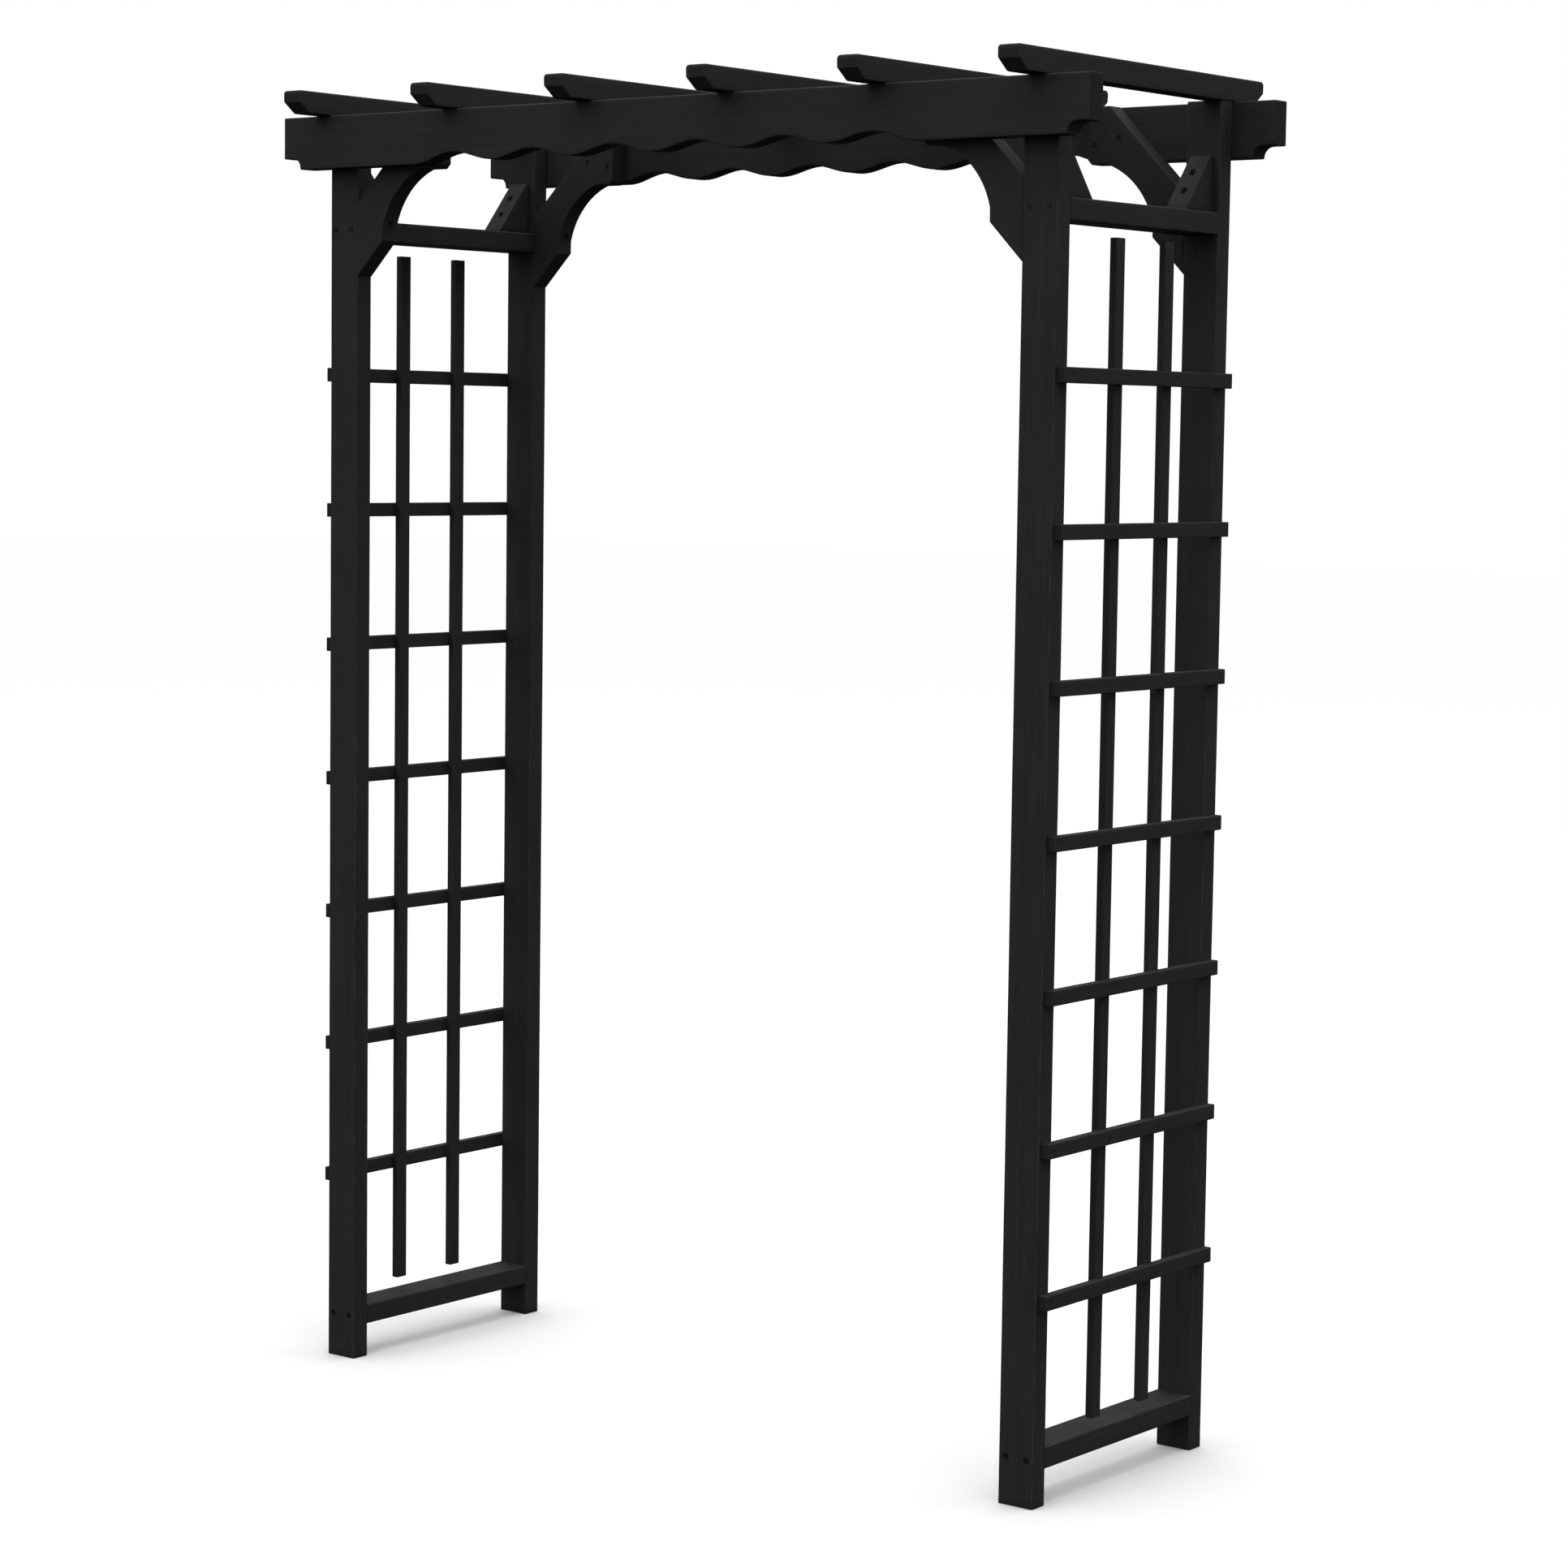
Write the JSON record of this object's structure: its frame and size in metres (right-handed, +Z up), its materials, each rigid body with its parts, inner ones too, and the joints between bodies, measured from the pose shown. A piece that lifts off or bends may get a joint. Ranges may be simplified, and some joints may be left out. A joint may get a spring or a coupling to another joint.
{
  "type": "garden arch",
  "caption": "Free-standing walk-through garden arch in black-stained timber with trellis sides, scalloped header boards and rafters.",
  "frame": {"origin": "on the ground, at the centre of the four posts", "axes": "+X across the walkway, +Y along the walkway towards the rear, +Z up"},
  "size_m": [1.678, 0.694, 2.226],
  "materials": {
    "frame_timber": "black satin stain over planed softwood",
    "slat_timber": "black satin stain over sawn and planed softwood battens",
    "fixings": "black-coated steel"
  },
  "bodies": {
    "root": {"post_rear_right": "frame_timber", "post_rear_left": "frame_timber", "post_front_right": "frame_timber", "post_front_left": "frame_timber", "brace_rear_right": "frame_timber", "brace_rear_left": "frame_timber", "brace_front_right": "frame_timber", "brace_front_left": "frame_timber", "gusset_rear_right": "frame_timber", "gusset_rear_left": "frame_timber", "gusset_front_right": "frame_timber", "gusset_front_left": "frame_timber", "top_rail_right": "frame_timber", "top_rail_left": "frame_timber", "bottom_rail_right": "frame_timber", "bottom_rail_left": "frame_timber", "header_rear": "frame_timber", "header_front": "frame_timber", "rafter_1": "frame_timber", "rafter_2": "frame_timber", "rafter_3": "frame_timber", "rafter_4": "frame_timber", "rafter_5": "frame_timber", "rafter_6": "frame_timber", "slat_right_1": "slat_timber", "slat_right_2": "slat_timber", "slat_right_3": "slat_timber", "slat_right_4": "slat_timber", "slat_right_5": "slat_timber", "slat_right_6": "slat_timber", "slat_right_7": "slat_timber", "slat_left_1": "slat_timber", "slat_left_2": "slat_timber", "slat_left_3": "slat_timber", "slat_left_4": "slat_timber", "slat_left_5": "slat_timber", "slat_left_6": "slat_timber", "slat_left_7": "slat_timber", "strip_right_1": "slat_timber", "strip_right_2": "slat_timber", "strip_left_1": "slat_timber", "strip_left_2": "slat_timber", "top_rail_screws": "fixings", "bottom_rail_screws": "fixings", "header_screws": "fixings", "rafter_screws": "fixings", "brace_post_screws": "fixings", "brace_header_screws": "fixings", "gusset_screws": "fixings", "slat_nails": "fixings", "strip_nails": "fixings"}
  },
  "joints": []
}
